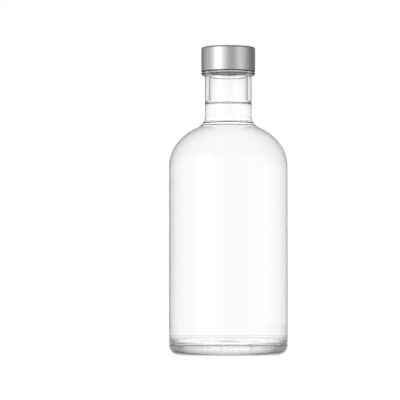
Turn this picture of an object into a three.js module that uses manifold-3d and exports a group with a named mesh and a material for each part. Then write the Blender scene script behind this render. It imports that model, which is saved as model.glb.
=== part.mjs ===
// A clear glass spirits bottle with a metal-faced screw cap, filled with vodka to the neck.
// Millimetres, +Z up. The origin is the centre of the ring that the bottle stands on.

import * as THREE from 'three';
import { mergeVertices } from 'three/addons/utils/BufferGeometryUtils.js';
import Module from 'manifold-3d';

// Body and base of the bottle
const bodyRadius = 43.0;
const bodyWall = 4.2;
const heelRadius = 7.0;
const mouldLineDepth = 0.4;
const mouldLineWidth = 0.8;
const bearingInnerRadius = 30.0;
const puntHeight = 4.2;
const floorHeight = 8.7;
const floorRise = 4.0;
const floorCornerRadius = 4.5;

// Shoulder: a round lower arc, then a flatter crown that meets the collar
const shoulderHeight = 136.71;
const shoulderRadius = 27.6;
const shoulderTurn = 38;
const crownRadius = 37.0;

// Collar, neck and throat
const collarFlare = 4.85;
const collarRadius = 8.5;
const collarTurn = 47;
const neckRadius = 16.95;
const neckWall = 2.65;
const neckLength = 29.6;
const throatRadius = 5.0;

// Transfer bead under the cap
const beadInset = 0.08;
const beadHeight = 2.1;
const beadLowerRound = 1.2;
const beadUpperRound = 0.5;
const beadFootRound = 0.8;

// Threaded finish above the bead
const finishWall = 2.1;
const lipRound = 0.8;
const threadPitch = 4.233;
const threadDepth = 1.2;
const threadFootWidth = 2.2;
const threadCrestWidth = 0.9;
const threadTurns = 1.5;
const threadBelowRim = 3.2;
const threadToBead = 4.4;
const threadRunOutTurns = 0.1;
const threadEndShare = 0.1;
const threadSink = 0.5;

// Cap: a sealing liner, a threaded plastic insert and a metal shell
const seatGap = 0.3;
const threadClearance = 0.35;
const capToBeadGap = 0.5;
const linerThickness = 1.5;
const linerEdgeGap = 0.4;
const insertWall = 0.93;
const insertTopThickness = 1.65;
const insertTopRound = 1.0;
const insertThreadFootWidth = 1.9;
const insertThreadCrestWidth = 0.7;
const insertThreadTurns = 1.25;
const shellThickness = 0.45;
const shellTopRound = 1.3;
const shellHemRound = 0.4;
const hemWidth = 1.1;

// Vodka
const headspace = 37.25;
const fillGap = 0.3;
const meniscusRise = 2.4;
const meniscusWidth = 6.0;
const meniscusSteps = 5;

// Fineness of the faceted solids
const aroundSteps = 48;
const threadStepsPerTurn = 24;
const mergeDistance = 1e-4;

const degree = Math.PI / 180;
const rightAngle = 90;
const halfTurn = 180;

// Radii that follow from the sizes above
const collarFootRadius = neckRadius + collarFlare;
const boreRadius = neckRadius - neckWall;
const finishRadius = boreRadius + finishWall;
const threadCrestRadius = finishRadius + threadDepth;
const insertBoreRadius = threadCrestRadius + threadClearance;
const insertRadius = insertBoreRadius + insertWall;
const shellInnerRadius = insertRadius + seatGap;
const capRadius = shellInnerRadius + shellThickness;
const beadRadius = capRadius - beadInset;

// Centres of the shoulder and crown arcs, which share a tangent where they meet
const shoulderCentreRadius = bodyRadius - shoulderRadius;
const arcCentreShift = crownRadius - shoulderRadius;
const crownCentreRadius = shoulderCentreRadius - arcCentreShift * Math.cos(shoulderTurn * degree);
const crownCentreHeight = shoulderHeight - arcCentreShift * Math.sin(shoulderTurn * degree);

// The collar stands on the crown, and ends in the straight neck
const collarFootRun = collarFootRadius - crownCentreRadius;
const collarFootHeight = crownCentreHeight + Math.sqrt(crownRadius ** 2 - collarFootRun ** 2);
const collarArcRise = collarRadius * Math.sin(collarTurn * degree);
const collarArcRun = collarRadius * (1 - Math.cos(collarTurn * degree));
const collarLineRun = collarFlare - collarArcRun;
const collarLineRise = collarLineRun / Math.tan(collarTurn * degree);
const neckFootHeight = collarFootHeight + collarLineRise + collarArcRise;

// Heights from the neck up
const beadFootHeight = neckFootHeight + neckLength;
const beadTopHeight = beadFootHeight + beadHeight;
const rimHeight = beadTopHeight + threadToBead + threadTurns * threadPitch + threadBelowRim;
const linerFootHeight = rimHeight + seatGap;
const linerTopHeight = linerFootHeight + linerThickness;
const insertCeilingHeight = linerTopHeight + seatGap;
const insertTopHeight = insertCeilingHeight + insertTopThickness;
const shellCeilingHeight = insertTopHeight + seatGap;
const capTopHeight = shellCeilingHeight + shellThickness;
const capFootHeight = beadTopHeight + capToBeadGap;
const insertFootHeight = capFootHeight + shellThickness + seatGap;
const threadTopHeight = rimHeight - threadBelowRim;
const fillHeight = rimHeight - headspace;

// The throat rounds the crown's inner face into the bore of the neck
const throatCentreRadius = boreRadius + throatRadius;
const throatRun = throatCentreRadius - crownCentreRadius;
const throatReach = crownRadius - bodyWall + throatRadius;
const throatRise = Math.sqrt(throatReach ** 2 - throatRun ** 2);
const throatHeight = crownCentreHeight + throatRise;
const throatAngle = Math.atan2(throatRise, throatRun) / degree;

const wasm = await Module();
wasm.setup();

// Points along an arc of an outline; the second angle may be the smaller one.
function arc(radius, height, size, fromAngle, toAngle, steps) {
  const points = [];
  for (let step = 0; step <= steps; step += 1) {
    const angle = (fromAngle + (toAngle - fromAngle) * (step / steps)) * degree;
    points.push(new THREE.Vector2(radius + size * Math.cos(angle), height + size * Math.sin(angle)));
  }
  return points;
}

// A shallow cap seen in section, from its top on the axis down to its edge.
function shallowCap(edgeRadius, edgeHeight, rise, steps) {
  const size = (edgeRadius ** 2 + rise ** 2) / (2 * rise);
  const edgeAngle = Math.acos(edgeRadius / size) / degree;
  return arc(0, edgeHeight + rise - size, size, rightAngle, edgeAngle, steps);
}

// Joins stretches of an outline, leaving out points that repeat the one before.
function outline(...stretches) {
  const points = [];
  for (const point of stretches.flat()) {
    const last = points.at(-1);
    if (!last || last.distanceTo(point) > mergeDistance) points.push(point);
  }
  return points;
}

function at(radius, height) {
  return new THREE.Vector2(radius, height);
}

// Merges shared corners and drops the triangles that have closed up on the axis.
function sealed(geometry) {
  geometry.deleteAttribute('normal');
  geometry.deleteAttribute('uv');
  const merged = mergeVertices(geometry, mergeDistance);
  const index = merged.getIndex();
  const kept = [];
  for (let i = 0; i < index.count; i += 3) {
    const a = index.getX(i);
    const b = index.getX(i + 1);
    const c = index.getX(i + 2);
    if (a !== b && b !== c && c !== a) kept.push(a, b, c);
  }
  merged.setIndex(kept);
  return merged;
}

// Turns an outline of radius and height about the vertical axis.
function turned(points) {
  const geometry = new THREE.LatheGeometry(points, aroundSteps);
  geometry.rotateX(Math.PI / 2);
  return sealed(geometry);
}

function solidOf(geometry) {
  const vertProperties = Float32Array.from(geometry.getAttribute('position').array);
  const triVerts = Uint32Array.from(geometry.getIndex().array);
  return new wasm.Manifold(new wasm.Mesh({ numProp: 3, vertProperties, triVerts }));
}

function joined(geometry, added) {
  const mesh = solidOf(geometry).add(solidOf(added)).getMesh();
  const result = new THREE.BufferGeometry();
  result.setAttribute('position', new THREE.BufferAttribute(mesh.vertProperties, 3));
  result.setIndex(new THREE.BufferAttribute(mesh.triVerts, 1));
  return result;
}

// A right-handed thread, wound down from its top. It is extruded straight, then bent round the axis.
// The depth is positive on an outside wall and negative inside a bore.
function thread({ wallRadius, depth, footWidth, crestWidth, topHeight, turns }) {
  const sink = Math.sign(depth) * threadSink;
  const section = new THREE.Shape([
    at(-sink, -footWidth / 2),
    at(0, -footWidth / 2),
    at(depth, -crestWidth / 2),
    at(depth, crestWidth / 2),
    at(0, footWidth / 2),
    at(-sink, footWidth / 2),
  ]);
  const steps = Math.round(turns * threadStepsPerTurn);
  const ridge = new THREE.ExtrudeGeometry(section, { depth: turns, steps, bevelEnabled: false });
  const position = ridge.getAttribute('position');
  for (let i = 0; i < position.count; i += 1) {
    const wound = position.getZ(i);
    const toEnd = Math.min(wound, turns - wound);
    const swell = Math.min(1, threadEndShare + (1 - threadEndShare) * (toEnd / threadRunOutTurns));
    const offset = position.getX(i);
    const radius = wallRadius + (offset * depth > 0 ? offset * swell : offset);
    const angle = -2 * Math.PI * wound;
    const height = topHeight + position.getY(i) - threadPitch * wound;
    position.setXYZ(i, radius * Math.cos(angle), radius * Math.sin(angle), height);
  }
  return sealed(ridge);
}

// The inside face of the glass from the floor to the foot of the bore, moved inwards by a gap.
function cavity(gap) {
  const wall = bodyRadius - bodyWall - gap;
  const corner = floorCornerRadius - gap;
  const floor = floorHeight + gap;
  const shoulder = shoulderRadius - bodyWall - gap;
  const crown = crownRadius - bodyWall - gap;
  const throat = throatRadius + gap;
  return outline(
    shallowCap(wall - corner, floor, floorRise, 3),
    arc(wall - corner, floor + corner, corner, -rightAngle, 0, 4),
    arc(shoulderCentreRadius, shoulderHeight, shoulder, 0, shoulderTurn, 6),
    arc(crownCentreRadius, crownCentreHeight, crown, shoulderTurn, throatAngle, 6),
    arc(throatCentreRadius, throatHeight, throat, throatAngle + halfTurn, halfTurn, 4),
  );
}

// The outside of the bottle, from the middle of its base to the foot of the bead.
function bodyOutside() {
  const heelCentre = bodyRadius - heelRadius;
  const collarCentre = neckRadius + collarRadius;
  const collarFootAngle = Math.acos(collarFootRun / crownRadius) / degree;
  const beadFoot = beadFootHeight - beadFootRound;
  return outline(
    shallowCap(bearingInnerRadius, 0, puntHeight, 4),
    arc(heelCentre, heelRadius, heelRadius, -rightAngle, 0, 6),
    [at(bodyRadius - mouldLineDepth, heelRadius + mouldLineWidth / 2)],
    [at(bodyRadius, heelRadius + mouldLineWidth)],
    arc(shoulderCentreRadius, shoulderHeight, shoulderRadius, 0, shoulderTurn, 6),
    arc(crownCentreRadius, crownCentreHeight, crownRadius, shoulderTurn, collarFootAngle, 5),
    arc(collarCentre, neckFootHeight, collarRadius, halfTurn + collarTurn, halfTurn, 5),
    arc(neckRadius + beadFootRound, beadFoot, beadFootRound, halfTurn, rightAngle, 2),
  );
}

// The bead and the lip, up to the top of the bore.
function finishOutside() {
  const lowerCentre = at(beadRadius - beadLowerRound, beadFootHeight + beadLowerRound);
  const upperCentre = at(beadRadius - beadUpperRound, beadTopHeight - beadUpperRound);
  const lipHeight = rimHeight - lipRound;
  return outline(
    arc(lowerCentre.x, lowerCentre.y, beadLowerRound, -rightAngle, 0, 4),
    arc(upperCentre.x, upperCentre.y, beadUpperRound, 0, rightAngle, 2),
    [at(finishRadius, beadTopHeight)],
    arc(finishRadius - lipRound, lipHeight, lipRound, 0, rightAngle, 2),
    arc(boreRadius + lipRound, lipHeight, lipRound, rightAngle, halfTurn, 2),
  );
}

function bottleGeometry() {
  const glass = turned(outline(bodyOutside(), finishOutside(), cavity(0).reverse()));
  const ridge = thread({
    wallRadius: finishRadius,
    depth: threadDepth,
    footWidth: threadFootWidth,
    crestWidth: threadCrestWidth,
    topHeight: threadTopHeight,
    turns: threadTurns,
  });
  return joined(glass, ridge);
}

// The liquid climbs the wall of the bore a little at its edge.
function vodkaGeometry() {
  const edge = boreRadius - fillGap;
  const meniscus = [];
  for (let step = 0; step <= meniscusSteps; step += 1) {
    const share = (step / meniscusSteps) ** 2;
    meniscus.push(at(edge - meniscusWidth * share, fillHeight + meniscusRise * (1 - share) ** 4));
  }
  return turned(outline(cavity(fillGap), meniscus, [at(0, fillHeight)]));
}

function linerGeometry() {
  const radius = insertBoreRadius - linerEdgeGap;
  return turned([
    at(0, linerFootHeight),
    at(radius, linerFootHeight),
    at(radius, linerTopHeight),
    at(0, linerTopHeight),
  ]);
}

// The insert's thread runs in the groove under the bottle's thread.
function insertGeometry() {
  const cup = turned(outline(
    [at(0, insertCeilingHeight)],
    [at(insertBoreRadius, insertCeilingHeight)],
    [at(insertBoreRadius, insertFootHeight)],
    [at(insertRadius, insertFootHeight)],
    arc(insertRadius - insertTopRound, insertTopHeight - insertTopRound, insertTopRound, 0, rightAngle, 3),
    [at(0, insertTopHeight)],
  ));
  const ridge = thread({
    wallRadius: insertBoreRadius,
    depth: -threadDepth,
    footWidth: insertThreadFootWidth,
    crestWidth: insertThreadCrestWidth,
    topHeight: threadTopHeight - threadPitch / 2,
    turns: insertThreadTurns,
  });
  return joined(cup, ridge);
}

// Drawn sheet metal, with its lower edge turned in under the insert.
function shellGeometry() {
  const hemRadius = capRadius - hemWidth;
  const innerRound = shellTopRound - shellThickness;
  return turned(outline(
    [at(0, shellCeilingHeight)],
    arc(shellInnerRadius - innerRound, shellCeilingHeight - innerRound, innerRound, rightAngle, 0, 3),
    [at(shellInnerRadius, capFootHeight + shellThickness)],
    [at(hemRadius, capFootHeight + shellThickness)],
    [at(hemRadius, capFootHeight)],
    arc(capRadius - shellHemRound, capFootHeight + shellHemRound, shellHemRound, -rightAngle, 0, 3),
    arc(capRadius - shellTopRound, capTopHeight - shellTopRound, shellTopRound, 0, rightAngle, 5),
    [at(0, capTopHeight)],
  ));
}

const clearGlass = new THREE.MeshStandardMaterial({
  color: 0xf4f8f8,
  roughness: 0.03,
  metalness: 0,
  transparent: true,
  opacity: 0.35,
});

const clearSpirit = new THREE.MeshStandardMaterial({
  color: 0xfafcfd,
  roughness: 0.02,
  metalness: 0,
  transparent: true,
  opacity: 0.3,
});

const satinAluminium = new THREE.MeshStandardMaterial({ color: 0xb9babc, roughness: 0.34, metalness: 1 });
const whitePlastic = new THREE.MeshStandardMaterial({ color: 0xe9e9e6, roughness: 0.5, metalness: 0 });
const linerFoam = new THREE.MeshStandardMaterial({ color: 0xf1f0ea, roughness: 0.8, metalness: 0 });

function piece(name, geometry, material) {
  const mesh = new THREE.Mesh(geometry, material);
  mesh.name = name;
  return mesh;
}

const vodkaBottle = new THREE.Group();
vodkaBottle.add(piece('bottle', bottleGeometry(), clearGlass));
vodkaBottle.add(piece('vodka', vodkaGeometry(), clearSpirit));
vodkaBottle.add(piece('cap_liner', linerGeometry(), linerFoam));
vodkaBottle.add(piece('cap_insert', insertGeometry(), whitePlastic));
vodkaBottle.add(piece('cap_shell', shellGeometry(), satinAluminium));

export default vodkaBottle;
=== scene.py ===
"""Studio picture of a clear glass vodka bottle with a satin aluminium screw cap.

Every size is in metres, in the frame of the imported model: +Z runs up the bottle's axis and the origin
is the centre of the ring that it stands on. Each round piece is drawn as a half section, turned about
the axis, and dressed by its own finish.
"""

from __future__ import annotations

import logging
import math
from dataclasses import dataclass, field, fields
from enum import Enum, IntEnum
from functools import cache, partial, reduce
from typing import Callable

import bpy
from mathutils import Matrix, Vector


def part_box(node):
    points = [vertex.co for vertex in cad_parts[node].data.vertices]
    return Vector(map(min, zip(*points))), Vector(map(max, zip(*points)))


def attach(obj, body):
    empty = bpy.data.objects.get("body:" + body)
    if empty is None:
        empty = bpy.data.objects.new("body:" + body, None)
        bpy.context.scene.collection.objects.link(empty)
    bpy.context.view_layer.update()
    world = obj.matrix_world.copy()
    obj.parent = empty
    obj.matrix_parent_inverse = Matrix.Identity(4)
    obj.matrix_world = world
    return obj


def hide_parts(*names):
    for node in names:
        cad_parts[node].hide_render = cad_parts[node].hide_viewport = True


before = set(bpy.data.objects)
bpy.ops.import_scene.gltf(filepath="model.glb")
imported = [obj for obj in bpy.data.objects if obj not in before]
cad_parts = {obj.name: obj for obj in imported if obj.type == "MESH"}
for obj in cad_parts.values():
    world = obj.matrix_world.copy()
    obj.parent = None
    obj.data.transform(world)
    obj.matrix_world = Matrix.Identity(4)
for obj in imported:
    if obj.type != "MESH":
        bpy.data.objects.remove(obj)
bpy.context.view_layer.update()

LOG = logging.getLogger("vodka_bottle")

MM = 1e-3
MICRON = 1e-6
QUARTER = math.pi / 2
HALF = math.pi
SHARP_TURN = math.radians(19)
SAME_POINT = 1e-7

# Where a noise begins to count and where it counts in full, and what is left where it doesn't.
PATCH_EDGES = (0.5, 0.75)
FLECK_EDGES = (0.4, 0.7)
FLECK_LOW = 0.4
STROKE_EDGES = (0.5, 0.62)
SPECK_EDGES = (0.35, 0.65)
SPECK_LOW = 0.3

FIRST_CROSSINGS = 1.5  # fewer surfaces passed than this: the first two that a view meets

Colour = tuple[float, float, float]
Link = bpy.types.NodeSocket
Mesh = bpy.types.Mesh
Piece = bpy.types.Object
Tree = bpy.types.NodeTree
Reshape = Callable[[float, float, float], float]


class Zone(IntEnum):
    """Which finish a stretch of a section takes.

    On the bottle these are the outside, the face against the spirit, the dry bore, the foot, the mould
    lines, the ring of spirit round the bore and the foot of the inner wall. The mould lines, the ring
    at the liquid line and the foot of the inner wall are darkened glass, painted shade, and the outside,
    the bore and the foot darken at a slant as painted shade. The cap's shell is bare outside, and inside,
    down to the underside of its turned-in edge, it is near-black as painted shade.
    """

    DRY = 0
    WET = 1
    BORE = 2
    FOOT = 3
    LINE = 4
    RING = 5
    RIM = 6
    BARE = DRY
    COATED = WET

    @property
    def label(self) -> str:
        """Name of the node input that takes the zone's finish."""
        return self.name.title() + " Finish"


class Grain(Enum):
    """How the fine grain of a finish lies on a round piece."""

    TURNED = "turned"
    EVEN = "even"


# Sections and turned meshes


@dataclass
class Section:
    """A half section of a round piece: radius and height, walked with the solid on its left."""

    points: list[tuple[float, float]] = field(default_factory=list)
    zones: list[Zone] = field(default_factory=list)
    zone: Zone = Zone.DRY

    def to(self, radius: float, height: float) -> Section:
        """Adds one point, unless it repeats the last one.

        Args:
            radius: Distance from the axis.
            height: Height above the base.

        Returns:
            The section itself, so that calls can be chained.
        """
        if not self.points or math.dist(self.points[-1], (radius, height)) > SAME_POINT:
            self.points.append((radius, height))
            self.zones.append(self.zone)
        return self

    def line(self, radius: float, height: float, steps: int) -> Section:
        """Adds a straight stretch from the last point.

        Args:
            radius: Radius where the stretch ends.
            height: Height where it ends.
            steps: Number of equal parts.

        Returns:
            The section itself.
        """
        first_radius, first_height = self.points[-1]
        for step in range(1, steps + 1):
            share = step / steps
            out = first_radius + (radius - first_radius) * share
            self.to(out, first_height + (height - first_height) * share)
        return self

    def arc(
        self, centre: tuple[float, float], size: float, start: float, end: float, steps: int
    ) -> Section:
        """Adds an arc.

        Args:
            centre: Radius and height of its centre.
            size: Its own radius.
            start: First angle, from the outward level direction.
            end: Last angle, which may be the smaller one.
            steps: Number of chords.

        Returns:
            The section itself.
        """
        for step in range(steps + 1):
            angle = start + (end - start) * step / steps
            self.to(centre[0] + size * math.cos(angle), centre[1] + size * math.sin(angle))
        return self

    def rounded(self, radius: float, height: float, size: float, steps: int, low: bool = False) -> Section:
        """Rounds an outer corner.

        Args:
            radius: Radius of the sharp corner.
            height: Its height.
            size: Radius of the rounding.
            steps: Number of chords.
            low: Whether it is the foot of a wall and not its top.

        Returns:
            The section itself.
        """
        if low:
            return self.arc((radius - size, height + size), size, -QUARTER, 0.0, steps)
        return self.arc((radius - size, height - size), size, 0.0, QUARTER, steps)

    def dome(self, edge: tuple[float, float], rise: float, steps: int) -> Section:
        """Adds a shallow dome, from its top on the axis down to its edge.

        Args:
            edge: Radius and height of the edge.
            rise: How far the middle stands above the edge.
            steps: Number of chords.

        Returns:
            The section itself.
        """
        size = (edge[0] ** 2 + rise**2) / (2 * rise)
        centre = (0.0, edge[1] + rise - size)
        return self.arc(centre, size, QUARTER, math.acos(edge[0] / size), steps)

    def then(self, other: Section) -> Section:
        """Adds another section's points, in the zone that this one is in.

        Args:
            other: The section whose points are added.

        Returns:
            The section itself.
        """
        for radius, height in other.points:
            self.to(radius, height)
        return self

    def backwards(self) -> Section:
        """Returns the same points in the opposite order."""
        return Section(points=self.points[::-1], zones=self.zones[::-1])

    def turned(self, name: str, around: int, reshape: Reshape | None = None) -> Mesh:
        """Turns the section about the axis.

        Args:
            name: Name of the mesh.
            around: Number of steps in the full turn.
            reshape: Gives a point's new radius from its radius, angle and height.

        Returns:
            A closed mesh with outward faces and a face attribute that numbers the zones.
        """
        vertices: list[tuple[float, float, float]] = []
        rings: list[list[int]] = []
        for radius, height in self.points:
            first = len(vertices)
            if radius < MICRON:
                vertices.append((0.0, 0.0, height))
                rings.append([first] * around)
                continue
            for step in range(around):
                angle = 2 * HALF * step / around
                out = reshape(radius, angle, height) if reshape else radius
                vertices.append((out * math.cos(angle), out * math.sin(angle), height))
            rings.append(list(range(first, first + around)))
        faces: list[tuple[int, ...]] = []
        zones: list[int] = []
        for low, high, zone in zip(rings, rings[1:], self.zones[1:]):
            for step in range(around):
                following = (step + 1) % around
                corners = (low[step], low[following], high[following], high[step])
                faces.append(tuple(dict.fromkeys(corners)))
                zones.append(int(zone))
        mesh = bpy.data.meshes.new(name)
        mesh.from_pydata(vertices, [], faces)
        mesh.attributes.new("zone", "INT", "FACE").data.foreach_set("value", zones)
        mesh.shade_smooth()
        mesh.set_sharp_from_angle(angle=SHARP_TURN)
        mesh.validate()
        return mesh


def add_object(name: str, data: bpy.types.ID) -> Piece:
    """Puts a mesh, a lamp or a camera in the scene as an object at the origin.

    Args:
        name: Name of the object.
        data: What the object shows or does.

    Returns:
        The object.
    """
    made = bpy.data.objects.new(name, data)
    bpy.context.scene.collection.objects.link(made)
    return made


def dress_zones(piece: Piece, finishes: list[ClearFinish | SolidFinish]) -> None:
    """Gives a piece one finish for every zone.

    Args:
        piece: The object to dress.
        finishes: Its finishes, in the zones' order.
    """
    for finish in finishes:
        piece.data.materials.append(finish.material())
    for face, mark in zip(piece.data.polygons, piece.data.attributes["zone"].data):
        face.material_index = mark.value


def fit_to_frame(piece: Piece, body: str, node: str) -> None:
    """Ties a finished piece to its body and the plain solid that it replaces.

    Args:
        piece: The finished object.
        body: The body that it moves with.
        node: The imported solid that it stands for.
    """
    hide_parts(node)
    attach(piece, body)
    LOG.info("%s: %d faces on body %s", piece.name, len(piece.data.polygons), body)


# Node graphs


class Graph:
    """A node tree with short calls to add nodes and join them."""

    def __init__(self, tree: Tree) -> None:
        """Keeps the tree, which is emptied first."""
        self.tree = tree
        tree.nodes.clear()

    def add(self, kind: str, settings: dict | None = None, **values: object) -> bpy.types.Node:
        """Adds a node.

        Args:
            kind: The node's type.
            settings: Properties of the node itself.
            values: Values or links for its inputs, with underscores for spaces in their names.

        Returns:
            The node.
        """
        node = self.tree.nodes.new(kind)
        for name, value in (settings or {}).items():
            setattr(node, name, value)
        for name, value in values.items():
            self.feed(node.inputs[name.replace("_", " ")], value)
        return node

    def feed(self, socket: Link, value: object) -> None:
        """Links an output to an input, or sets the input's plain value.

        Args:
            socket: The input.
            value: A link or a plain value.
        """
        if isinstance(value, Link):
            self.tree.links.new(value, socket)
        else:
            socket.default_value = value

    def math(self, operation: str, *terms: object) -> Link:
        """Adds a math node and returns its result.

        Args:
            operation: Blender's name of the operation.
            terms: Numbers or links, in order.

        Returns:
            The output socket.
        """
        node = self.add("ShaderNodeMath", {"operation": operation})
        for socket, term in zip(node.inputs, terms):
            self.feed(socket, term)
        return node.outputs[0]

    def times(self, *terms: object) -> Link:
        """Multiplies two or more numbers or links."""
        return reduce(partial(self.math, "MULTIPLY"), terms)

    def plus(self, *terms: object) -> Link:
        """Adds two or more numbers or links."""
        return reduce(partial(self.math, "ADD"), terms)

    def blend(self, share: object, first: object, second: object) -> Link:
        """Blends two colours.

        Args:
            share: Link to the second colour's share.
            first: Colour or link where the share is 0.
            second: Colour or link where it is 1.

        Returns:
            The output socket.
        """
        node = self.add("ShaderNodeMix", {"data_type": "RGBA"})
        for place, value in ((0, share), (6, first), (7, second)):
            self.feed(node.inputs[place], value)
        return node.outputs[2]

    def from_axis(self, x: object, y: object) -> Link:
        """Works out the distance from the upright axis, from the two level coordinates."""
        return self.math("SQRT", self.plus(self.times(x, x), self.times(y, y)))

    def noise(self, scale: object, detail: float, stretch: float = 1.0) -> Link:
        """Adds a noise on the object's own coordinates and returns its value.

        Args:
            scale: Number or link for its scale.
            detail: Number of finer layers.
            stretch: How much longer the noise is along a slant than across it.

        Returns:
            The output socket.
        """
        place = self.add("ShaderNodeTexCoord").outputs["Object"]
        if stretch > 1.0:
            slant = (0.0, math.acos(1 / math.sqrt(3)), QUARTER / 2)  # along a cube's diagonal
            turned = self.add("ShaderNodeMapping", {"vector_type": "TEXTURE"}, Vector=place)
            turned.inputs["Rotation"].default_value = slant
            turned.inputs["Scale"].default_value = (1.0, 1.0, stretch)
            place = turned.outputs[0]
        node = self.add("ShaderNodeTexNoise", Vector=place, Scale=scale, Detail=detail)
        return node.outputs["Fac"]

    def span(self, value: object, low: float, high: float, to_low: float, to_high: float) -> Link:
        """Maps a range of values to another one, eased and clamped at both ends.

        Args:
            value: Link to the value.
            low: Start of the range.
            high: End of the range.
            to_low: Result at the start.
            to_high: Result at the end.

        Returns:
            The output socket.
        """
        node = self.add("ShaderNodeMapRange", {"interpolation_type": "SMOOTHSTEP"})
        for socket, term in zip(node.inputs, (value, low, high, to_low, to_high)):
            self.feed(socket, term)
        return node.outputs["Result"]


def start_material(name: str) -> tuple[bpy.types.Material, Graph]:
    """Starts a material that is drawn with nodes.

    Args:
        name: Name of the material.

    Returns:
        The material and its empty graph.
    """
    made = bpy.data.materials.new(name)
    made.use_nodes = True
    return made, Graph(made.node_tree)


def start_group(name: str, inputs: dict[str, float], *outputs: str) -> Tree:
    """Starts a shader node group of numbers.

    Args:
        name: Name of the group.
        inputs: First value of every named input.
        outputs: Names of its outputs.

    Returns:
        The group, with its sockets and no nodes.
    """
    tree = bpy.data.node_groups.new(name, "ShaderNodeTree")
    for label, value in inputs.items():
        socket = tree.interface.new_socket(label, in_out="INPUT", socket_type="NodeSocketFloat")
        socket.default_value = value
    for label in outputs:
        tree.interface.new_socket(label, in_out="OUTPUT", socket_type="NodeSocketFloat")
    return tree


@cache
def grain_group() -> Tree:
    """Builds the fine grain shared by the metal, plastic and foam finishes, once.

    Returns:
        The node group, with a height and a tone that vary over the surface.
    """
    tree = start_group("fine grain", {"Along": 40.0, "Across": 4000.0, "Turned": 1.0}, "Height", "Tone")
    graph = Graph(tree)
    given = graph.add("NodeGroupInput").outputs
    place = graph.add("ShaderNodeTexCoord").outputs["Object"]
    x, y, z = graph.add("ShaderNodeSeparateXYZ", Vector=place).outputs
    profile = graph.plus(z, graph.times(graph.from_axis(x, y), given["Turned"]))
    stretched = graph.add(
        "ShaderNodeCombineXYZ",
        X=graph.times(x, given["Along"]),
        Y=graph.times(y, given["Along"]),
        Z=graph.times(profile, given["Across"]),
    )
    lay = stretched.outputs[0]
    fine = graph.add("ShaderNodeTexNoise", Vector=lay, Scale=1.0, Detail=4.0, Roughness=0.6)
    broad = graph.add("ShaderNodeTexNoise", Vector=lay, Scale=0.13, Detail=2.0, Roughness=0.5)
    graph.add("NodeGroupOutput", Height=fine.outputs["Fac"], Tone=broad.outputs["Fac"])
    return tree


@cache
def handling_group() -> Tree:
    """Builds the faint marks of handling shared by the glass and the metal, once.

    Returns:
        The node group, with one mask that is high where a surface was touched.
    """
    tree = start_group("handling marks", {"Patch Scale": 30.0, "Fleck Scale": 400.0}, "Mask")
    graph = Graph(tree)
    given = graph.add("NodeGroupInput").outputs
    touched = graph.span(graph.noise(given["Patch Scale"], 3.0), *PATCH_EDGES, 0.0, 1.0)
    broken = graph.span(graph.noise(given["Fleck Scale"], 2.0), *FLECK_EDGES, FLECK_LOW, 1.0)
    graph.add("NodeGroupOutput", Mask=graph.times(touched, broken))
    return tree


# Finishes


@dataclass(frozen=True)
class ClearFinish:
    """Clear glass or liquid, or the boundary between the two.

    Its colour is the glass's own, and on the darkened finishes painted shade. What is seen at a slant
    fades to a darker edge level times that colour, painted shade for dark glass edges: the share is the
    slant to edge_power, times edge_gain, and less on faces that look up or down where edge_upright is
    set. from_outside keeps the colour to the surfaces that a view meets first. mirror scales the
    reflections. A stroke strength adds fine slanted strokes of painted shade, and stretch is how long
    they are.
    """

    name: str
    refraction: float
    tint: Colour = (1.0, 1.0, 1.0)
    ripple: float = 0.0
    smear: float = 0.0
    edge_tint: float = 1.0
    edge_power: float = 2.5
    edge_gain: float = 1.0
    edge_upright: bool = False
    from_outside: bool = False
    frost: float = 0.0
    frost_scale: float = 900.0
    mirror: float = 1.0
    ripple_scale: float = 55.0
    hatch: float = 0.0
    stretch: float = 1.0

    def material(self) -> bpy.types.Material:
        """Builds the material.

        Returns:
            A transmitting material whose ripple, smears and edge tint are procedural.
        """
        made, graph = start_material(self.name)
        surface = graph.add(
            "ShaderNodeBsdfPrincipled",
            Roughness=0.0,
            IOR=self.refraction,
            Transmission_Weight=1.0,
            Specular_Tint=(self.mirror, self.mirror, self.mirror, 1.0),
        )
        tint = (*self.tint, 1.0)
        # Painted shade: seen at a slant, the colour darkens towards the edge level.
        if self.edge_tint < 1.0:
            facing = graph.add("ShaderNodeLayerWeight", Blend=0.5).outputs["Facing"]
            share = graph.times(graph.math("POWER", facing, self.edge_power), self.edge_gain)
            if self.edge_upright:
                way = graph.add("ShaderNodeTexCoord").outputs["Normal"]
                up = graph.add("ShaderNodeSeparateXYZ", Vector=way).outputs["Z"]
                share = graph.times(share, graph.math("SUBTRACT", 1.0, graph.times(up, up)))
            # Painted shade: fine dark slanted strokes mixed into the darkening.
            if self.hatch:
                strokes = graph.noise(self.ripple_scale, 1.0, self.stretch)
                drawn = graph.span(strokes, *STROKE_EDGES, 0.0, self.hatch)
                share = graph.math("MAXIMUM", share, drawn)
            tint = graph.blend(share, tint, (*(self.edge_tint * part for part in self.tint), 1.0))
        if self.from_outside:
            crossed = graph.add("ShaderNodeLightPath").outputs["Transmission Depth"]
            first = graph.math("LESS_THAN", crossed, FIRST_CROSSINGS)
            tint = graph.blend(first, (1.0, 1.0, 1.0, 1.0), tint)
        graph.feed(surface.inputs["Base Color"], tint)
        if self.smear:
            marks = graph.add("ShaderNodeGroup", {"node_tree": handling_group()})
            graph.feed(surface.inputs["Roughness"], graph.times(marks.outputs["Mask"], self.smear))
        if self.frost:
            speck = graph.noise(self.frost_scale, 2.0)
            rough = graph.span(speck, *SPECK_EDGES, SPECK_LOW * self.frost, self.frost)
            graph.feed(surface.inputs["Roughness"], rough)
        if self.ripple:
            wave = graph.noise(self.ripple_scale, 1.0, self.stretch)
            bump = graph.add("ShaderNodeBump", Strength=1.0, Distance=self.ripple, Height=wave)
            graph.feed(surface.inputs["Normal"], bump.outputs["Normal"])
        graph.add("ShaderNodeOutputMaterial", Surface=surface.outputs["BSDF"])
        return made


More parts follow.
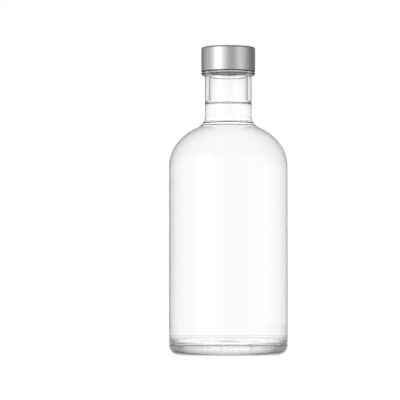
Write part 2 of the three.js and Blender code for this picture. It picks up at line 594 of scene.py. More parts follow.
@dataclass(frozen=True)
class SolidFinish:
    """Satin metal, moulded plastic or foam, with a grain of its own."""

    name: str
    colour: Colour
    roughness: float
    along: float
    across: float
    relief: float
    tone_change: float
    roughness_change: float = 0.1
    grain: Grain = Grain.EVEN
    metallic: float = 0.0
    wear: float = 0.0

    def material(self) -> bpy.types.Material:
        """Builds the material.

        Returns:
            A material whose tone, roughness and relief follow the grain.
        """
        made, graph = start_material(self.name)
        grain = graph.add(
            "ShaderNodeGroup",
            {"node_tree": grain_group()},
            Along=self.along,
            Across=self.across,
            Turned=1.0 if self.grain is Grain.TURNED else 0.0,
        )
        marks = graph.add("ShaderNodeGroup", {"node_tree": handling_group()})
        light = tuple(min(1.0, part * (1 + self.tone_change)) for part in self.colour)
        dark = tuple(part * (1 - self.tone_change) for part in self.colour)
        colour = graph.blend(grain.outputs["Tone"], (*dark, 1.0), (*light, 1.0))
        swing = graph.times(grain.outputs["Height"], self.roughness_change)
        worn = graph.times(marks.outputs["Mask"], self.wear)
        roughness = graph.plus(swing, self.roughness, worn)
        bump = graph.add(
            "ShaderNodeBump", Strength=1.0, Distance=self.relief, Height=grain.outputs["Height"]
        )
        surface = graph.add(
            "ShaderNodeBsdfPrincipled",
            Base_Color=colour,
            Roughness=roughness,
            Metallic=self.metallic,
            Normal=bump.outputs["Normal"],
        )
        graph.add("ShaderNodeOutputMaterial", Surface=surface.outputs["BSDF"])
        return made


GLASS_BOUNCES = 24
GLASS_INDEX = 1.52
SPIRIT_INDEX = 1.36

# Clear glass; its edges darken at a slant as painted shade.
DRY_GLASS = ClearFinish(
    "clear glass",
    GLASS_INDEX,
    tint=(0.998, 1.0, 1.0),
    ripple=4 * MICRON,
    smear=0.02,
    edge_tint=0.1,
    edge_power=2.6,
)
# Painted shade: the dry bore's glass goes dark at a slant, for the dark line of the bore.
BORE_GLASS_SHADED = ClearFinish(
    "glass of the dry bore", GLASS_INDEX, edge_tint=0.0, edge_power=3.0, edge_gain=2.6
)
WET_GLASS = ClearFinish("glass against the spirit", GLASS_INDEX / SPIRIT_INDEX)
# Painted shade: dark glass for the dark liquid line, on the surfaces a view meets first.
LIQUID_LINE_SHADE = ClearFinish(
    "glass at the liquid line", GLASS_INDEX / SPIRIT_INDEX, tint=(0.15, 0.15, 0.15), from_outside=True
)
# Painted shade: darker glass in a band at the foot of the inner wall.
INNER_FOOT_SHADE = ClearFinish(
    "glass at the foot of the inner wall", GLASS_INDEX / SPIRIT_INDEX, tint=(0.42, 0.42, 0.42)
)
# Painted shade: black glass on faces of the mould lines, for the dark lines.
MOULD_LINE_SHADE = ClearFinish("glass of the mould lines", GLASS_INDEX, tint=(0.0, 0.0, 0.0), from_outside=True)
# The foot is knurled, rippled and frosted; its grey colour, its darkening at a slant and its dark strokes
# are painted shade.
FOOT_GLASS_SHADED = ClearFinish(
    "stippled glass of the foot",
    GLASS_INDEX,
    tint=(0.86, 0.87, 0.87),
    ripple=0.4 * MM,
    edge_tint=0.22,
    edge_power=1.2,
    edge_gain=3.0,
    edge_upright=True,
    from_outside=True,
    frost=0.04,
    mirror=0.5,
    ripple_scale=750.0,
    hatch=0.5,
    stretch=3.5,
)
SPIRIT_TOP = ClearFinish("spirit surface", SPIRIT_INDEX)
SPIRIT_SIDE = ClearFinish("spirit side", 1.0)

SATIN_ALUMINIUM = SolidFinish(
    name="satin aluminium",
    colour=(0.68, 0.68, 0.69),
    roughness=0.33,
    along=25.0,
    across=5200.0,
    relief=4 * MICRON,
    tone_change=0.03,
    roughness_change=0.08,
    grain=Grain.TURNED,
    metallic=1.0,
    wear=0.03,
)
# Painted shade: near-black inside the cap and under its turned-in edge, for the dark gap under the cap.
CAP_INSIDE_SHADE = SolidFinish(
    name="dark lacquer",
    colour=(0.035, 0.035, 0.04),
    roughness=0.45,
    along=900.0,
    across=900.0,
    relief=4 * MICRON,
    tone_change=0.1,
)
WHITE_PLASTIC = SolidFinish(
    name="moulded white plastic",
    colour=(0.78, 0.78, 0.76),
    roughness=0.42,
    along=1600.0,
    across=1600.0,
    relief=10 * MICRON,
    tone_change=0.03,
)
LINER_FOAM = SolidFinish(
    name="liner foam",
    colour=(0.85, 0.84, 0.8),
    roughness=0.75,
    along=2600.0,
    across=2600.0,
    relief=40 * MICRON,
    tone_change=0.06,
)


# Ridges cut by Geometry Nodes


@dataclass
class RidgedBand:
    """A ring of equal ridges, cut into a band of a round piece by Geometry Nodes.

    Every field is an input of the node tree, under the same name with spaces.
    """

    count: float
    inner_radius: float
    outer_radius: float
    lowest: float
    highest: float
    cut_up: float = 0.0
    cut_in: float = 0.0
    fade: float = 0.5 * MM

    @property
    def inputs(self) -> dict[str, float]:
        """Names the node tree's number inputs and gives their values."""
        return {item.name.replace("_", " ").title(): getattr(self, item.name) for item in fields(self)}

    def tree(self) -> Tree:
        """Builds the node tree, once.

        Returns:
            The tree, which moves the points of the band and then sets every zone's finish.
        """
        if "ridged band" in bpy.data.node_groups:
            return bpy.data.node_groups["ridged band"]
        tree = bpy.data.node_groups.new("ridged band", "GeometryNodeTree")
        sockets = tree.interface
        sockets.new_socket("Geometry", in_out="INPUT", socket_type="NodeSocketGeometry")
        for name in self.inputs:
            sockets.new_socket(name, in_out="INPUT", socket_type="NodeSocketFloat")
        for zone in Zone:
            sockets.new_socket(zone.label, in_out="INPUT", socket_type="NodeSocketMaterial")
        sockets.new_socket("Geometry", in_out="OUTPUT", socket_type="NodeSocketGeometry")
        graph = Graph(tree)
        given = graph.add("NodeGroupInput").outputs
        place = graph.add("GeometryNodeInputPosition").outputs[0]
        x, y, z = graph.add("ShaderNodeSeparateXYZ", Vector=place).outputs
        radius = graph.from_axis(x, y)
        phase = graph.times(graph.math("ARCTAN2", y, x), given["Count"])
        groove = graph.math("MULTIPLY_ADD", graph.math("COSINE", phase), -0.5, 0.5)
        from_inner = graph.math("SUBTRACT", radius, given["Inner Radius"])
        from_outer = graph.math("SUBTRACT", given["Outer Radius"], radius)
        from_low = graph.math("SUBTRACT", z, given["Lowest"])
        from_high = graph.math("SUBTRACT", given["Highest"], z)
        across = graph.math("MINIMUM", from_inner, from_outer)
        along = graph.math("MINIMUM", from_low, from_high)
        reach = graph.math("DIVIDE", graph.math("MINIMUM", across, along), given["Fade"])
        depth = graph.times(groove, graph.span(reach, 0.0, 1.0, 0.0, 1.0))
        inward = graph.math("DIVIDE", given["Cut In"], graph.math("MAXIMUM", radius, MICRON))
        drawn = graph.times(depth, inward, -1.0)
        moved = graph.add(
            "ShaderNodeCombineXYZ",
            X=graph.times(x, drawn),
            Y=graph.times(y, drawn),
            Z=graph.times(depth, given["Cut Up"]),
        )
        cut = graph.add("GeometryNodeSetPosition", Geometry=given["Geometry"], Offset=moved.outputs[0])
        dressed = graph.add("GeometryNodeRealizeInstances", Geometry=cut.outputs[0])
        named = graph.add("GeometryNodeInputNamedAttribute", {"data_type": "INT"}, Name="zone")
        zone = named.outputs["Attribute"]
        for mark in Zone:
            dressed = graph.add(
                "GeometryNodeSetMaterial",
                Geometry=dressed.outputs[0],
                Selection=graph.math("COMPARE", zone, float(mark), 0.5),
                Material=given[mark.label],
            )
        graph.add("NodeGroupOutput", Geometry=dressed.outputs[0])
        return tree

    def cut(self, name: str, mesh: Mesh, finishes: list[bpy.types.Material]) -> Piece:
        """Cuts the ridges into a mesh and dresses it.

        Args:
            name: Name of the finished object.
            mesh: The turned mesh.
            finishes: One material for every zone, in the zones' order.

        Returns:
            An object with a plain mesh and no modifier.
        """
        source = add_object(name + "_blank", mesh)
        tree = self.tree()
        modifier = source.modifiers.new("ridges", "NODES")
        modifier.node_group = tree
        values = {**self.inputs, **{zone.label: finishes[zone] for zone in Zone}}
        for item in tree.interface.items_tree:
            if item.item_type == "SOCKET" and item.in_out == "INPUT" and item.name in values:
                modifier[item.identifier] = values[item.name]
        evaluated = source.evaluated_get(bpy.context.evaluated_depsgraph_get())
        result = bpy.data.meshes.new_from_object(evaluated)
        result.name = name
        source.modifiers.remove(modifier)
        bpy.data.objects.remove(source)
        return add_object(name, result)


# The bottle and its contents


@dataclass
class ScrewThread:
    """A right-handed thread on a round wall, as a change of the wall's radius."""

    wall_radius: float
    depth: float
    foot_width: float
    crest_width: float
    top: float
    turns: float
    pitch: float = 4.233 * MM
    run_out: float = 0.1

    def radius_at(self, radius: float, angle: float, height: float) -> float:
        """Gives a wall point's radius with the thread on it.

        Args:
            radius: The point's radius in the section.
            angle: Its angle round the axis.
            height: Its height.

        Returns:
            The new radius, or the old one off the threaded wall.
        """
        if abs(radius - self.wall_radius) > MICRON:
            return radius
        raised = 0.0
        first = -angle / (2 * HALF) % 1.0
        for whole in range(math.ceil(self.turns) + 1):
            wound = first + whole
            if wound > self.turns:
                break
            offset = abs(height - (self.top - self.pitch * wound))
            flank = (self.foot_width / 2 - offset) / ((self.foot_width - self.crest_width) / 2)
            swell = min(1.0, min(wound, self.turns - wound) / self.run_out)
            raised = max(raised, min(1.0, flank) * swell)
        return radius + self.depth * raised


@dataclass
class GlassBottle:
    """The bottle: its sizes, its two faces and the fill inside it."""

    body_radius: float
    rim_height: float
    fill_height: float
    body_wall: float = 4.2 * MM
    heel_radius: float = 7.0 * MM
    mould_line_depth: float = 0.4 * MM
    mould_line_width: float = 0.8 * MM
    bearing_inner_radius: float = 30.0 * MM
    punt_height: float = 4.2 * MM
    floor_height: float = 8.7 * MM
    floor_rise: float = 4.0 * MM
    floor_corner: float = 4.5 * MM
    # Height of the band at the foot of the inner wall that is darker, painted shade.
    rim_line_width: float = 0.6 * MM
    shoulder_size: float = 27.6 * MM
    shoulder_turn: float = math.radians(38)
    crown_size: float = 37.0 * MM
    collar_flare: float = 4.85 * MM
    collar_size: float = 8.5 * MM
    collar_turn: float = math.radians(47)
    collar_steps: int = 36
    # The collar's mould line: a groove, with the faces in neck_line_face black glass as painted shade.
    neck_line_depth: float = 0.2 * MM
    neck_line_step: int = 6
    neck_line_face: range = range(5, 10)
    flank_line: tuple[float, float, float] = (0.34, 0.5, 0.7)
    neck_radius: float = 16.95 * MM
    neck_wall: float = 2.65 * MM
    neck_length: float = 29.6 * MM
    throat_size: float = 5.0 * MM
    bead_radius: float = 19.55 * MM
    bead_height: float = 2.1 * MM
    bead_lower_round: float = 1.2 * MM
    bead_upper_round: float = 0.5 * MM
    bead_foot_round: float = 0.8 * MM
    finish_wall: float = 2.1 * MM
    lip_round: float = 0.8 * MM
    thread_below_rim: float = 3.2 * MM
    thread_to_bead: float = 4.4 * MM
    thread_turns: float = 1.5
    thread_depth: float = 1.2 * MM
    thread_foot: float = 2.2 * MM
    thread_crest: float = 0.9 * MM
    meniscus_rise: float = 2.4 * MM
    meniscus_width: float = 6.0 * MM
    # The wet glass from ring_below below the fill height to ring_above above it is dark, painted shade for
    # the liquid line.
    ring_above: float = 1.3 * MM
    ring_below: float = 0.3 * MM
    fill_gap: float = 0.04 * MM
    around: int = 384
    knurl_count: int = 96
    knurl_depth: float = 0.3 * MM
    knurl_margin: float = 0.2 * MM
    knurl_reach: float = 1.2 * MM
    knurl_height: float = 1.0 * MM

    @property
    def bore_radius(self) -> float:
        """Radius of the bore of the neck."""
        return self.neck_radius - self.neck_wall

    @property
    def finish_radius(self) -> float:
        """Radius of the threaded wall at the thread's foot."""
        return self.bore_radius + self.finish_wall

    @property
    def collar_foot_radius(self) -> float:
        """Radius at which the collar meets the crown."""
        return self.neck_radius + self.collar_flare

    @property
    def bead_top(self) -> float:
        """Height of the bead's upper face."""
        threaded = self.thread_turns * ScrewThread.pitch
        return self.rim_height - self.thread_below_rim - threaded - self.thread_to_bead

    @property
    def bead_foot(self) -> float:
        """Height of the bead's lower face."""
        return self.bead_top - self.bead_height

    @property
    def neck_foot(self) -> float:
        """Height at which the straight neck begins."""
        return self.bead_foot - self.neck_length

    @property
    def shoulder_height(self) -> float:
        """Works down from the neck, through the collar and the crown.

        Returns:
            The height at which the straight side ends.
        """
        arc_shift = self.crown_size - self.shoulder_size
        centre_run = self.body_radius - self.shoulder_size - arc_shift * math.cos(self.shoulder_turn)
        crown_rise = math.sqrt(self.crown_size**2 - (self.collar_foot_radius - centre_run) ** 2)
        arc_run = self.collar_size * (1 - math.cos(self.collar_turn))
        line_rise = (self.collar_flare - arc_run) / math.tan(self.collar_turn)
        collar_rise = line_rise + self.collar_size * math.sin(self.collar_turn)
        return self.neck_foot - collar_rise - crown_rise + arc_shift * math.sin(self.shoulder_turn)

    @property
    def shoulder_centre(self) -> tuple[float, float]:
        """Centre of the shoulder's lower arc."""
        return self.body_radius - self.shoulder_size, self.shoulder_height

    @property
    def crown_centre(self) -> tuple[float, float]:
        """Finds the centre of the flatter arc, which shares a tangent with the lower one.

        Returns:
            Its radius and height.
        """
        shift = self.crown_size - self.shoulder_size
        radius, height = self.shoulder_centre
        radius -= shift * math.cos(self.shoulder_turn)
        height -= shift * math.sin(self.shoulder_turn)
        return radius, height

    @property
    def contact_height(self) -> float:
        """Height at which the liquid's edge meets the glass."""
        return self.fill_height + self.meniscus_rise

    def cavity(self, gap: float) -> Section:
        """Draws the inside face from the floor to the foot of the bore.

        Args:
            gap: How far the face is moved inwards.

        Returns:
            The section, from the axis up.
        """
        wall = self.body_radius - self.body_wall - gap
        corner = self.floor_corner - gap
        floor = self.floor_height + gap
        inner_shoulder = self.shoulder_size - self.body_wall - gap
        inner_crown = self.crown_size - self.body_wall - gap
        throat_radius = self.bore_radius + self.throat_size
        run = throat_radius - self.crown_centre[0]
        reach = self.crown_size - self.body_wall + self.throat_size
        rise = math.sqrt(reach**2 - run**2)
        turn = math.atan2(rise, run)
        throat = (throat_radius, self.crown_centre[1] + rise)
        section = Section()
        section.dome((wall - corner, floor), self.floor_rise, steps=10)
        section.rounded(wall, floor, corner, steps=14, low=True)
        section.line(wall, self.shoulder_height, steps=12)
        section.arc(self.shoulder_centre, inner_shoulder, 0.0, self.shoulder_turn, steps=14)
        section.arc(self.crown_centre, inner_crown, self.shoulder_turn, turn, steps=14)
        section.arc(throat, self.throat_size + gap, turn + HALF, HALF, steps=12)
        return section

    def draw_collar(self, section: Section) -> None:
        """Draws the straight flank and the arc from the crown to the neck, each with a mould line whose
        faces take black glass as painted shade.

        Args:
            section: The glass section, drawn up to the crown's upper edge.
        """
        foot = section.points[-1]
        centre = (self.neck_radius + self.collar_size, self.neck_foot)
        turn = HALF + self.collar_turn
        size = self.collar_size
        top = (centre[0] + size * math.cos(turn), centre[1] + size * math.sin(turn))
        below, groove, above = self.flank_line
        for share, depth in ((below, 0.0), (groove, self.neck_line_depth), (above, 0.0)):
            # Painted shade: the face that climbs out of the flank's groove is black glass.
            section.zone = Zone.LINE if share == above else Zone.DRY
            radius, height = (low + (high - low) * share for low, high in zip(foot, top))
            section.to(radius + depth * math.cos(turn), height + depth * math.sin(turn))
        for step in range(self.collar_steps + 1):
            angle = turn - self.collar_turn * step / self.collar_steps
            size = self.collar_size + (self.neck_line_depth if step == self.neck_line_step else 0.0)
            # Painted shade: the faces round the neck's groove are black glass.
            section.zone = Zone.LINE if step in self.neck_line_face else Zone.DRY
            section.to(centre[0] + size * math.cos(angle), centre[1] + size * math.sin(angle))

    def glass_section(self) -> Section:
        """Draws the whole glass section: up the outside, over the rim and down the inside.

        Returns:
            The section, from the middle of the underside round to the middle of the floor.
        """
        collar_run = self.collar_foot_radius - self.crown_centre[0]
        collar_angle = math.acos(collar_run / self.crown_size)
        lip = self.rim_height - self.lip_round
        section = Section(zone=Zone.FOOT)
        section.dome((self.bearing_inner_radius, 0.0), self.punt_height, steps=24)
        section.line(self.body_radius - self.heel_radius, 0.0, steps=12)
        section.rounded(self.body_radius, 0.0, self.heel_radius, steps=24, low=True)
        groove = self.heel_radius + self.mould_line_width / 2
        section.to(self.body_radius - self.mould_line_depth, groove)
        # Painted shade: the face that climbs out of the heel's groove is black glass.
        section.zone = Zone.LINE
        section.to(self.body_radius, self.heel_radius + self.mould_line_width)
        section.zone = Zone.DRY
        section.line(self.body_radius, self.shoulder_height, steps=12)
        section.arc(self.shoulder_centre, self.shoulder_size, 0.0, self.shoulder_turn, steps=16)
        section.arc(self.crown_centre, self.crown_size, self.shoulder_turn, collar_angle, steps=14)
        self.draw_collar(section)
        bead_foot = (self.neck_radius + self.bead_foot_round, self.bead_foot - self.bead_foot_round)
        section.arc(bead_foot, self.bead_foot_round, HALF, QUARTER, steps=6)
        section.rounded(self.bead_radius, self.bead_foot, self.bead_lower_round, steps=10, low=True)
        section.rounded(self.bead_radius, self.bead_top, self.bead_upper_round, steps=5)
        section.to(self.finish_radius, self.bead_top)
        section.line(self.finish_radius, lip, steps=52)
        section.rounded(self.finish_radius, self.rim_height, self.lip_round, steps=6)
        section.arc((self.bore_radius + self.lip_round, lip), self.lip_round, QUARTER, HALF, steps=6)
        # Painted shade: the dry bore darkens at a slant.
        section.zone = Zone.BORE
        section.line(self.bore_radius, self.contact_height, steps=2)
        section.zone = Zone.WET
        section.to(self.bore_radius, self.fill_height + self.ring_above)
        # Painted shade: the dark ring at the liquid line.
        section.zone = Zone.RING
        section.to(self.bore_radius, self.fill_height - self.ring_below)
        section.zone = Zone.WET
        first = len(section.points)
        section.then(self.cavity(0.0).backwards())
        # Painted shade: the inner wall's faces just below the top of its rounded foot take the darker
        # glass.
        wall_foot = self.floor_height + self.floor_corner
        for place in range(first, len(section.points)):
            if MICRON < wall_foot - section.points[place][1] < self.rim_line_width:
                section.zones[place] = Zone.RIM
        return section

    def build_glass(self) -> Piece:
        """Makes the bottle's glass, knurled on the ring that it stands on.

        Returns:
            The finished object.
        """
        thread = ScrewThread(
            wall_radius=self.finish_radius,
            depth=self.thread_depth,
            foot_width=self.thread_foot,
            crest_width=self.thread_crest,
            top=self.rim_height - self.thread_below_rim,
            turns=self.thread_turns,
        )
        mesh = self.glass_section().turned("glass", self.around, thread.radius_at)
        knurl = RidgedBand(
            count=self.knurl_count,
            inner_radius=self.bearing_inner_radius - self.knurl_margin,
            outer_radius=self.body_radius - self.heel_radius + self.knurl_reach,
            lowest=-self.knurl_height,
            highest=self.knurl_height,
            cut_up=self.knurl_depth,
        )
        finishes = (DRY_GLASS, WET_GLASS, BORE_GLASS_SHADED, FOOT_GLASS_SHADED, MOULD_LINE_SHADE, LIQUID_LINE_SHADE, INNER_FOOT_SHADE)
        return knurl.cut("glass_bottle", mesh, [finish.material() for finish in finishes])

    def build_fill(self) -> Piece:
        """Makes the vodka, which climbs the wall of the bore a little at its edge.

        Returns:
            The finished object.
        """
        edge = self.bore_radius - self.fill_gap
        section = Section(zone=Zone.WET)
        section.then(self.cavity(self.fill_gap))
        section.to(edge, self.contact_height)
        section.zone = Zone.DRY
        steps = 24
        for step in range(1, steps + 1):
            share = (step / steps) ** 2
            rise = self.meniscus_rise * (1 - share) ** 4
            section.to(edge - self.meniscus_width * share, self.fill_height + rise)
        section.to(0.0, self.fill_height)
        made = add_object("vodka_fill", section.turned("vodka", self.around // 2))
        dress_zones(made, [SPIRIT_TOP, SPIRIT_SIDE])
        return made


# The cap


@dataclass
class ScrewCap:
    """The cap: a satin metal shell over a threaded plastic insert and a foam liner."""

    radius: float
    foot: float
    top: float
    insert_radius: float
    insert_foot: float
    insert_top: float
    liner_foot: float
    liner_top: float
    liner_radius: float
    thread_top: float
    insert_wall: float = 0.93 * MM
    shell_thickness: float = 0.45 * MM
    top_round: float = 1.3 * MM
    hem_round: float = 0.7 * MM
    hem_width: float = 1.1 * MM
    # Angle round the hem up to which the near-black painted shade reaches.
    lacquer_turn: float = QUARTER / 5
    insert_round: float = 1.0 * MM
    insert_chamfer: float = 0.2 * MM
    liner_gap: float = 0.3 * MM
    thread_depth: float = 1.2 * MM
    thread_foot: float = 1.9 * MM
    thread_crest: float = 0.7 * MM
    thread_turns: float = 1.25
    around: int = 256
    rib_count: int = 64
    rib_depth: float = 0.25 * MM
    rib_fade: float = 0.1 * MM
    rib_reach: float = 1.0 * MM
    rib_clear: float = 0.6 * MM
    print_depth: float = 0.12 * MM
    print_inner: float = 14.6 * MM
    print_outer: float = 16.2 * MM
    print_slope: float = 0.3 * MM
    liner_round: float = 0.3 * MM

    def build_shell(self) -> Piece:
        """Makes the drawn shell, with its lower edge turned in under the insert.

        Returns:
            The finished object.
        """
        inner = self.radius - self.shell_thickness
        ceiling = self.top - self.shell_thickness
        inner_round = self.top_round - self.shell_thickness
        hem = self.radius - self.hem_width
        lip = self.shell_thickness / 2
        # Painted shade: near-black from the middle of the ceiling down the inside and round under the hem.
        section = Section(zone=Zone.COATED).to(0.0, ceiling)
        section.arc((inner - inner_round, ceiling - inner_round), inner_round, QUARTER, 0.0, steps=8)
        section.to(inner, self.foot + self.shell_thickness)
        section.arc((hem + lip, self.foot + lip), lip, QUARTER, 3 * QUARTER, steps=8)
        hem_centre = (self.radius - self.hem_round, self.foot + self.hem_round)
        section.arc(hem_centre, self.hem_round, -QUARTER, -self.lacquer_turn, steps=6)
        section.zone = Zone.BARE
        section.arc(hem_centre, self.hem_round, -self.lacquer_turn, 0.0, steps=5)
        section.line(self.radius, self.top - self.top_round, steps=6)
        section.rounded(self.radius, self.top, self.top_round, steps=12)
        section.line(0.0, self.top, steps=10)
        made = add_object("cap_metal_shell", section.turned("shell", self.around))
        dress_zones(made, [SATIN_ALUMINIUM, CAP_INSIDE_SHADE])
        return made

    def build_insert(self) -> Piece:
        """Makes the plastic insert, threaded inside and ribbed outside.

        Returns:
            The finished object.
        """
        bore = self.insert_radius - self.insert_wall
        ceiling = self.liner_top + self.liner_gap
        chamfer = self.insert_chamfer
        section = Section().to(0.0, ceiling).to(bore, ceiling)
        section.line(bore, self.insert_foot + chamfer, steps=60)
        section.to(bore + chamfer, self.insert_foot)
        section.to(self.insert_radius - chamfer, self.insert_foot)
        section.to(self.insert_radius, self.insert_foot + chamfer)
        section.line(self.insert_radius, self.insert_top - self.insert_round, steps=24)
        section.rounded(self.insert_radius, self.insert_top, self.insert_round, steps=6)
        section.to(0.0, self.insert_top)
        thread = ScrewThread(
            wall_radius=bore,
            depth=-self.thread_depth,
            foot_width=self.thread_foot,
            crest_width=self.thread_crest,
            top=self.thread_top - ScrewThread.pitch / 2,
            turns=self.thread_turns,
        )
        mesh = section.turned("insert", self.around, thread.radius_at)
        ribs = RidgedBand(
            count=self.rib_count,
            inner_radius=self.insert_radius - self.rib_fade,
            outer_radius=self.insert_radius + self.rib_reach,
            lowest=self.insert_foot + self.rib_clear,
            highest=self.insert_top - self.insert_round,
            cut_in=self.rib_depth,
            fade=self.rib_fade,
        )
        plastic = WHITE_PLASTIC.material()
        return ribs.cut("cap_plastic_insert", mesh, [plastic] * len(Zone))

    def build_liner(self) -> Piece:
        """Makes the foam liner, with a soft edge and the rim's shallow print in its lower face.

        Returns:
            The finished object.
        """
        printed = self.liner_foot + self.print_depth
        section = Section().to(0.0, self.liner_foot)
        section.line(self.print_inner - self.print_slope, self.liner_foot, steps=4)
        section.to(self.print_inner, printed).to(self.print_outer, printed)
        section.to(self.print_outer + self.print_slope, self.liner_foot)
        section.rounded(self.liner_radius, self.liner_foot, self.liner_round, steps=5, low=True)
        section.rounded(self.liner_radius, self.liner_top, self.liner_round, steps=5)
        section.line(0.0, self.liner_top, steps=6)
        made = add_object("cap_foam_liner", section.turned("liner", self.around // 2))
        made.data.materials.append(LINER_FOAM.material())
        return made


# Studio


@dataclass(frozen=True)
class Softbox:
    """A tall soft lamp that stands round the bottle."""

    name: str
    azimuth: float
    distance: float
    height: float
    width: float
    length: float
    radiance: float

    def build(self, target: Vector) -> Piece:
        """Adds the lamp, turned to its target.

        Args:
            target: The point that it faces.

        Returns:
            The lamp.
        """
        lamp = bpy.data.lights.new(self.name, "AREA")
        lamp.shape = "RECTANGLE"
        lamp.size, lamp.size_y = self.width, self.length
        lamp.energy = self.radiance * HALF * self.width * self.length
        made = add_object(self.name, lamp)
        angle = math.radians(self.azimuth)
        made.location = (self.distance * math.sin(angle), -self.distance * math.cos(angle), self.height)
        made.rotation_euler = (target - made.location).to_track_quat("-Z", "Y").to_euler()
        return made


@dataclass(frozen=True)
class Wall:
    """A pale wall of the room, as a soft lobe of what is reflected."""

    azimuth: float
    spread: float
    level: float


@dataclass
class Studio:
    """A white sweep, two soft lamps and the camera.

    Each pair of distances or heights is where a level begins to change and where it has changed.
    Heights are those of a direction, from 0 on the horizon to 1 overhead.
    """

    eye_height: float = 52.36 * MM
    eye_left: float = 20.6 * MM
    distance: float = 1.75
    aim_height: float = 112.36 * MM
    lens: float = 216.6
    sensor: float = 36.0
    floor_size: float = 40.0
    floor_glow: float = 0.88
    floor_paint: float = 0.2
    # Painted light on the floor, seen only through the glass: brighter right under the bottle and a little
    # brighter near it.
    contact_reach: tuple[float, float] = (40.0 * MM, 75.0 * MM)
    contact_light: float = 1.35
    screen_reach: tuple[float, float] = (0.1, 0.75)
    near_light: float = 0.06
    screen_level: float = 0.98
    # Painted reflection on the floor: grey near the bottle, and the room's wall lobes further off.
    mirror_reach: tuple[float, float] = (0.2, 1.2)
    floor_level: float = 0.75
    room_level: float = 0.18
    wall_heights: tuple[float, float] = (0.2, 0.6)
    room_top: float = 0.15
    ceiling_heights: tuple[float, float] = (0.7, 0.95)
    ceiling_level: float = 0.22
    walls: tuple[Wall, ...] = (
        Wall(-39.5, 32.0, 1.5),
        Wall(-102.0, 26.0, 0.45),
        Wall(54.0, 32.0, 0.8),
        Wall(156.0, 12.0, 0.15),
    )
    soft_level: float = 0.7
    lamps: tuple[Softbox, ...] = (
        Softbox("key softbox", -48.0, 0.9, 0.25, 0.4, 0.9, 0.8),
        Softbox("fill softbox", 44.0, 1.0, 0.25, 0.2, 0.9, 0.3),
    )
    lamp_aim: float = 120.0 * MM

    def build(self) -> None:
        """Makes the floor, the surroundings, the lamps and the camera."""
        self.floor()
        self.surroundings()
        for lamp in self.lamps:
            lamp.build(Vector((0.0, 0.0, self.lamp_aim)))
        self.camera()

    def camera(self) -> None:
        """Places the camera low in front of the bottle, tipped up to its middle."""
        lens = bpy.data.cameras.new("camera")
        lens.lens = self.lens
        lens.sensor_width = self.sensor
        made = add_object("camera", lens)
        made.location = (-self.eye_left, -self.distance, self.eye_height)
        tip = math.atan2(self.aim_height - self.eye_height, self.distance)
        made.rotation_euler = (QUARTER + tip, 0.0, 0.0)
        bpy.context.scene.camera = made

    def floor(self) -> None:
        """Lays a pale floor that reads as white and keeps a faint shadow; seen through the glass it has
        painted light under and near the bottle, and in reflections a painted reflection of the room, grey
        near the bottle.
        """
        half = self.floor_size / 2
        mesh = bpy.data.meshes.new("floor")
        square = [(-half, -half, 0.0), (half, -half, 0.0), (half, half, 0.0), (-half, half, 0.0)]
        mesh.from_pydata(square, [], [(0, 1, 2, 3)])
        made = add_object("floor", mesh)
        paint, graph = start_material("floor")
        path = graph.add("ShaderNodeLightPath").outputs
        place = graph.add("ShaderNodeTexCoord").outputs["Object"]
        away = graph.add("ShaderNodeVectorMath", {"operation": "LENGTH"}, Vector=place).outputs["Value"]
        # Painted light: seen through the glass, the floor is brighter right under the bottle and a little
        # brighter near it.
        under = graph.span(away, *self.contact_reach, self.contact_light, 1.0)
        bright = self.screen_level * (1 + self.near_light)
        painted_glow_near = graph.span(away, *self.screen_reach, bright, self.screen_level)
        through = graph.times(path["Is Transmission Ray"], under, painted_glow_near)
        # Painted reflection: in reflections the floor shows grey near the bottle and the room's wall lobes
        # further off.
        x, y, _ = graph.add("ShaderNodeSeparateXYZ", Vector=place).outputs
        room = self.room(graph, x, y)
        near = graph.span(away, *self.mirror_reach, 1.0, 0.0)
        gap = graph.math("SUBTRACT", self.floor_level, room)
        level = graph.plus(room, graph.times(near, gap))
        painted_room_reflection = graph.times(self.reflected(graph), level)
        straight = graph.times(path["Is Camera Ray"], self.floor_glow)
        seen = graph.plus(straight, through, painted_room_reflection)
        matt = graph.times(path["Is Camera Ray"], self.floor_paint)
        surface = graph.add(
            "ShaderNodeBsdfPrincipled",
            Base_Color=matt,
            Roughness=1.0,
            Specular_IOR_Level=0.0,
            Emission_Color=seen,
            Emission_Strength=1.0,
        )
        graph.add("ShaderNodeOutputMaterial", Surface=surface.outputs["BSDF"])
        mesh.materials.append(paint)

    def reflected(self, graph: Graph) -> Link:
        """Picks the rays that come off a surface, and none that passed through it.

        Args:
            graph: The graph of the floor or of the surroundings.

        Returns:
            A mask, 1 for the rays picked.
        """
        path = graph.add("ShaderNodeLightPath").outputs
        outside = graph.math("SUBTRACT", 1.0, path["Is Transmission Ray"])
        return graph.times(path["Is Glossy Ray"], outside)

    def room(self, graph: Graph, x: object, y: object) -> Link:
        """Works out how bright the room is in one level direction.

        Args:
            graph: The graph of the floor or of the surroundings.
            x: Link to the direction's part to the right.
            y: Link to its part to the rear.

        Returns:
            The level, with a soft lobe for every wall.
        """
        azimuth = graph.math("ARCTAN2", x, graph.times(y, -1.0))
        level = self.room_level
        for wall in self.walls:
            off = graph.math("SUBTRACT", azimuth, math.radians(wall.azimuth))
            turn = graph.math("DIVIDE", off, math.radians(wall.spread))
            bell = graph.math("EXPONENT", graph.times(turn, turn, -1.0))
            level = graph.plus(level, graph.times(bell, wall.level))
        return level

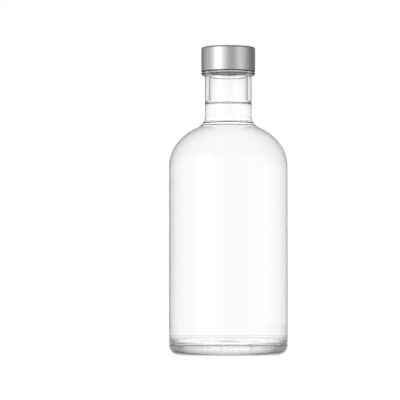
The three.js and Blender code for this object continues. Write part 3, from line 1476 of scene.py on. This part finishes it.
    def surroundings(self) -> None:
        """Lights the scene: white behind the glass, and a dim room in the reflections."""
        world = bpy.data.worlds.new("studio")
        bpy.context.scene.world = world
        world.use_nodes = True
        graph = Graph(world.node_tree)
        path = graph.add("ShaderNodeLightPath").outputs
        way = graph.add("ShaderNodeTexCoord").outputs["Generated"]
        x, y, z = graph.add("ShaderNodeSeparateXYZ", Vector=way).outputs
        top = graph.span(z, *self.wall_heights, 1.0, self.room_top)
        ceiling = graph.span(z, *self.ceiling_heights, 0.0, self.ceiling_level)
        room = graph.plus(graph.times(self.room(graph, x, y), top), ceiling)
        straight = path["Is Camera Ray"]
        bent = path["Is Transmission Ray"]
        gloss = self.reflected(graph)
        clear = graph.math("MAXIMUM", straight, bent)
        soft = graph.math("SUBTRACT", 1.0, graph.math("MAXIMUM", clear, gloss))
        strength = graph.plus(
            straight,
            graph.times(bent, self.screen_level),
            graph.times(gloss, room),
            graph.times(soft, self.soft_level),
        )
        light = graph.add("ShaderNodeBackground", Color=(1.0, 1.0, 1.0, 1.0), Strength=strength)
        graph.add("ShaderNodeOutputWorld", Surface=light.outputs[0])


def corners(node: str) -> tuple[Vector, Vector]:
    """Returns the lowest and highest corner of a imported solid."""
    low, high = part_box(node)
    return Vector(low), Vector(high)


def main() -> None:
    """Builds every piece in order, then the studio, and sets the picture's plain view."""
    logging.basicConfig(level=logging.INFO, format="%(name)s %(message)s")
    nodes = ("bottle", "vodka", "cap_shell", "cap_insert", "cap_liner")
    glass, fill, shell, insert, liner = (corners(node) for node in nodes)

    bottle = GlassBottle(
        body_radius=glass[1].x,
        rim_height=glass[1].z,
        fill_height=fill[1].z - GlassBottle.meniscus_rise,
    )
    fit_to_frame(bottle.build_glass(), "bottle", "bottle")
    fit_to_frame(bottle.build_fill(), "bottle", "vodka")

    cap = ScrewCap(
        radius=shell[1].x,
        foot=shell[0].z,
        top=shell[1].z,
        insert_radius=insert[1].x,
        insert_foot=insert[0].z,
        insert_top=insert[1].z,
        liner_foot=liner[0].z,
        liner_top=liner[1].z,
        liner_radius=liner[1].x,
        thread_top=bottle.rim_height - bottle.thread_below_rim,
    )
    fit_to_frame(cap.build_liner(), "liner", "cap_liner")
    fit_to_frame(cap.build_insert(), "cap", "cap_insert")
    fit_to_frame(cap.build_shell(), "cap", "cap_shell")

    Studio().build()
    scene = bpy.context.scene
    scene.view_settings.view_transform = "Standard"
    scene.cycles.max_bounces = GLASS_BOUNCES
    scene.cycles.transmission_bounces = GLASS_BOUNCES
    scene.cycles.glossy_bounces = GLASS_BOUNCES // 2


if __name__ == "__main__":
    main()
